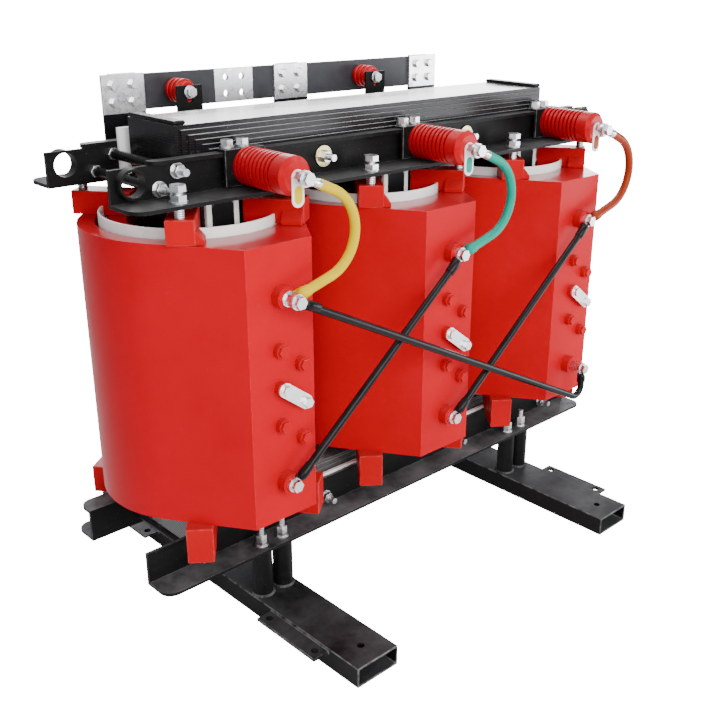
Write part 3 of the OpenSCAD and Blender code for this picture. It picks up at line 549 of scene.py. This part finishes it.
for side in ("front", "rear"):
    dress("top_clamp_" + side, "top_channel_" + side, clamp_black, 0.0016, 0.004)
dress("tie_rod_sleeves", "rod_sleeves", varnish_black, 0.0006)
tie_axes = [(end * x, z) for end in (-1, 1) for x, z in ((0.487, 0.848), (0.521, 0.823))]
bright("clamp_tie_rods", "Y", m12_reach, "tie_rods", tie_axes)
yoke_axes = [(end * x, z) for end in (-1, 1) for x, z in ((0.188, 0.837), (0.195, 0.159), (0.501, 0.159))]
bright("yoke_bolts", "Y", m12_reach, "through_bolts", yoke_axes, broad_washer, inside_yoke)
press_x, press_y = 0.1172, 0.150
press_axes = [(x + side * press_x, row * press_y)
              for x in coil_places.values() for side in (-1, 1) for row in (-1, 1)]
bright("coil_press_bolts", "Z", m16_reach, "press_bolts", press_axes)


# High-voltage terminals. Bent steel brackets on the front clamp carry ribbed post insulators
# of moulded red resin, each with an oblong enamelled tag under its terminal stud.
dress("hv_brackets", "insulator_brackets", clamp_black, 0.0010, 0.003)
insulator_red = cast_resin("insulator_red", (0.34, 0.001, 0.006, 1), (0.42, 0.002, 0.009, 1),
                           rough=(0.26, 0.36), gloss=0.4, coat=0.2)
for phase in coil_places:
    dress("hv_insulator_" + phase, "post_insulator_" + phase, insulator_red, 0.0012)


# Coloured leads and delta rods. The leads are thick flexible cable in coloured sleeves, the rods
# round copper in black heat-shrink; both end in crimped lugs under shrunk boots, bolted down.
def sleeve(name, colour, pale, gloss, shine=(1, 1, 1, 1)):
    dust_grey = (0.35, 0.34, 0.32, 1)
    made, tree, shader = material(name)
    place, marks = wear_and_highlight_marks(tree, 20.0, 360.0)
    cloud = noise(tree, place, 35.0)
    tone = ramp(tree, cloud, 0.3, 0.7, colour, pale)
    tone = layer(tree, tone, marks["Upward_patches"], 0.05, dust_grey)
    coat_with(tree, shader, tone, ramp(tree, cloud, 0.3, 0.7, gloss, gloss + 0.12))
    shader.inputs["Specular IOR Level"].default_value = 0.28
    shader.inputs["Specular Tint"].default_value = shine
    bump(tree, noise(tree, place, 140.0, 3.0), 0.12, 0.0005, shader)
    return made


black_sleeve = sleeve("black_shrink", (0.003, 0.003, 0.0035, 1), (0.006, 0.006, 0.007, 1),
                      0.16, (0.45, 0.45, 0.47, 1))
lead_colours = {
    "a": sleeve("yellow_lead", (0.56, 0.40, 0.0, 1), (0.62, 0.45, 0.0, 1), 0.30, (1, 0.8, 0.02, 1)),
    "b": sleeve("green_lead", (0.0, 0.22, 0.155, 1), (0.0, 0.27, 0.19, 1), 0.32, (0.05, 1, 0.8, 1)),
    "c": sleeve("brown_red_lead", (0.21, 0.018, 0.004, 1), (0.27, 0.026, 0.006, 1), 0.34, (1, 0.5, 0.35, 1)),
}
tinned = plated("tinned", (0.86, 0.87, 0.88, 1), (0.94, 0.94, 0.95, 1), 0.22)


def tinned_ends(body, eyes, reach):
    for face in body.faces:
        middle = face.calc_center_median()
        if min((Vector((middle.x, middle.z)) - Vector(eye)).length for eye in eyes) < reach:
            face.material_index = 1


def turned_on(body, outline, eye, y, angle):
    """A turned shape along a lead's end: distances from the lug's eye and radii, at an angle."""
    added = spun(body, [(along, 0, out) for along, out in outline], axis=(1, 0, 0), steps=24)
    bmesh.ops.rotate(body, cent=(0, 0, 0), matrix=Matrix.Rotation(-angle, 3, "Y"), verts=added)
    bmesh.ops.translate(body, vec=(eye[0], y, eye[1]), verts=added)


def finish_turning(body):
    bmesh.ops.recalc_face_normals(body, faces=body.faces[:])
    for face in body.faces:
        face.smooth = True
    return body


barrel_outline = [(0.011, 0.0040), (0.014, 0.0052), (0.018, 0.0076), (0.0235, 0.0080), (0.0240, 0.0071),
                  (0.0262, 0.0073), (0.0268, 0.0080), (0.031, 0.0080), (0.031, 0.0020)]
lead_boot_outline = [(0.0135, 0.0040), (0.0145, 0.0066), (0.019, 0.0096), (0.024, 0.0102),
                     (0.034, 0.0099), (0.036, 0.0092), (0.036, 0.0040)]
rod_boot_outline = [(0.0125, 0.0035), (0.0135, 0.0058), (0.019, 0.0084), (0.026, 0.0088),
                    (0.042, 0.0086), (0.0445, 0.0078), (0.0445, 0.0040)]
short_boot_outline = rod_boot_outline[:4] + [(0.031, 0.0086), (0.031, 0.0040)]
high, low, stud_x, stud_z = 0.658, 0.327, 0.038, 0.843
lead_plane, rod_plane, long_rod_plane, rod_lift = -0.271, -0.267, -0.287, 0.004
barrels = bmesh.new()
for x in coil_places.values():
    turned_on(barrels, barrel_outline, (x + stud_x, stud_z), lead_plane, math.radians(-24))
set_piece(finish_turning(barrels), "crimped_barrels", [tinned])

coil_a, coil_b, coil_c = coil_places.values()
rod_boots = bmesh.new()
for start, end in ((coil_b, coil_a), (coil_c, coil_b)):
    slope = math.atan2(low - high, end - start)
    turned_on(rod_boots, rod_boot_outline, (start, high), rod_plane - rod_lift, slope)
    turned_on(rod_boots, rod_boot_outline, (end, low), rod_plane, slope + math.pi)
turned_on(rod_boots, rod_boot_outline, (coil_a, high), long_rod_plane, math.radians(-23.9))
turned_on(rod_boots, short_boot_outline, (coil_c, low), long_rod_plane, math.radians(-90))
set_piece(finish_turning(rod_boots), "rod_boots", [black_sleeve])

stud_lug_reach, eye_lug_reach = 0.0255, 0.0145
for phase, x in coil_places.items():
    coloured = lead_colours[phase]
    boot = bmesh.new()
    turned_on(boot, lead_boot_outline, (x, high), lead_plane, math.radians(16))
    set_piece(finish_turning(boot), "lead_boot_" + phase, [coloured])
    lead = eased("hv_lead_" + phase, 0.0006, 0.004)
    tinned_ends(lead, [(x + stud_x, stud_z)], stud_lug_reach)
    tinned_ends(lead, [(x, high)], eye_lug_reach)
    set_piece(lead, "sleeved_lead_" + phase, [coloured, tinned], "hv_lead_" + phase)
rod_routes = (("rod_a_c", coil_a, coil_c), ("rod_b_a", coil_b, coil_a), ("rod_c_b", coil_c, coil_b))
for route, start, end in rod_routes:
    rod = eased("delta_" + route, 0.0006, 0.004)
    tinned_ends(rod, [(start, high), (end, low)], eye_lug_reach)
    set_piece(rod, "sleeved_" + route, [black_sleeve, tinned], "delta_" + route)

terminal_axes = [(x + aside, z) for x in coil_places.values()
                 for aside, z in ((0.0, high), (0.0, low), (stud_x, stud_z))]
bright("terminal_bolts", "Y", m12_reach, "terminal_studs", terminal_axes)
dress("tap_links", "tap_bridges", tinned, 0.0010, 0.0015)


# Phase tags. Oblong white enamelled plates hung on the terminal studs, each with a field in
# its phase colour that is left plain.
tag_white, tree, shader = material("tag_white")
place = tree.nodes.new("ShaderNodeTexCoord").outputs["Object"]
grain = noise(tree, place, 120.0)
enamel = ramp(tree, grain, 0.3, 0.7, (0.74, 0.74, 0.72, 1), (0.86, 0.86, 0.85, 1))
coat_with(tree, shader, enamel, ramp(tree, grain, 0.3, 0.7, 0.30, 0.42))
field_radius, field_length, field_thick = 0.0076, 0.013, 0.0004
tag_face, field_drop = -0.2462, 0.022
upright = Matrix.Rotation(math.radians(90), 3, "X")
for phase, x in coil_places.items():
    dress("phase_tag_" + phase, "enamel_tag_" + phase, tag_white, 0.0004, 0.001)
    field = bmesh.new()
    oval = bmesh.ops.create_circle(field, cap_ends=True, segments=32, radius=field_radius)["verts"]
    for vert in oval:
        if vert.co.y < 0:
            vert.co.y -= field_length
    bmesh.ops.rotate(field, cent=(0, 0, 0), matrix=upright, verts=oval)
    bmesh.ops.translate(field, vec=(x + stud_x, tag_face, stud_z - field_drop), verts=oval)
    drawn = bmesh.ops.extrude_face_region(field, geom=field.faces[:])["geom"]
    outer = [vert for vert in drawn if isinstance(vert, bmesh.types.BMVert)]
    bmesh.ops.translate(field, vec=(0, -field_thick, 0), verts=outer)
    bmesh.ops.recalc_face_normals(field, faces=field.faces[:])
    set_piece(field, "tag_field_" + phase, [lead_colours[phase]])


# Low-voltage side. Tinned bars rise from the inner coils; the neutral bar joins three of them in
# black heat-shrink that is stripped at one bare field, and stands on two small post insulators.
def cut_across(body, place, along):
    everything = body.verts[:] + body.edges[:] + body.faces[:]
    bmesh.ops.bisect_plane(body, geom=everything, plane_co=place, plane_no=along)


bare_start, bare_end = -0.183, -0.092
bar = eased("lv_neutral_bar", 0.0008, 0.004)
for x in (bare_start, bare_end):
    cut_across(bar, (x, 0, 0), (1, 0, 0))
for face in bar.faces:
    if bare_start < face.calc_center_median().x < bare_end:
        face.material_index = 1
bar_shrink = sleeve("bar_shrink", (0.030, 0.031, 0.037, 1), (0.044, 0.045, 0.052, 1), 0.34)
set_piece(bar, "neutral_busbar", [bar_shrink, tinned], "lv_neutral_bar")

shrink_top = 0.893
risers = eased("lv_neutral_risers", 0.0007, 0.0015)
cut_across(risers, (0, 0, shrink_top), (0, 0, 1))
for face in risers.faces:
    if face.calc_center_median().z < shrink_top:
        face.material_index = 1
set_piece(risers, "neutral_flags", [tinned, black_sleeve], "lv_neutral_risers")
dress("lv_phase_bars", "phase_flags", tinned, 0.0008, 0.0015)
dress("lv_bar_brackets", "bar_brackets", clamp_black, 0.0010, 0.003)
dress("lv_bar_insulators", "bar_insulators", insulator_red, 0.0012)

washer_radius, washer_thick, head_radius, head_high = 0.012, 0.002, 0.0105, 0.008
bracket_face, screw_z, screw_round = 0.168, 0.928, 0.0006
screws = bmesh.new()
for x in (-0.278, 0.194):
    washer = bmesh.ops.create_cone(screws, cap_ends=True, segments=32, radius1=washer_radius,
                                   radius2=washer_radius, depth=washer_thick)["verts"]
    bmesh.ops.translate(screws, vec=(0, 0, washer_thick / 2), verts=washer)
    head = bmesh.ops.create_cone(screws, cap_ends=True, segments=6, radius1=head_radius,
                                 radius2=head_radius, depth=head_high)["verts"]
    bmesh.ops.translate(screws, vec=(0, 0, washer_thick + head_high / 2), verts=head)
    bmesh.ops.rotate(screws, cent=(0, 0, 0), matrix=upright, verts=washer + head)
    bmesh.ops.translate(screws, vec=(x, bracket_face, screw_z), verts=washer + head)
round_edges(screws, screws.edges[:], screw_round)
set_piece(screws, "bracket_screws", [zinc])
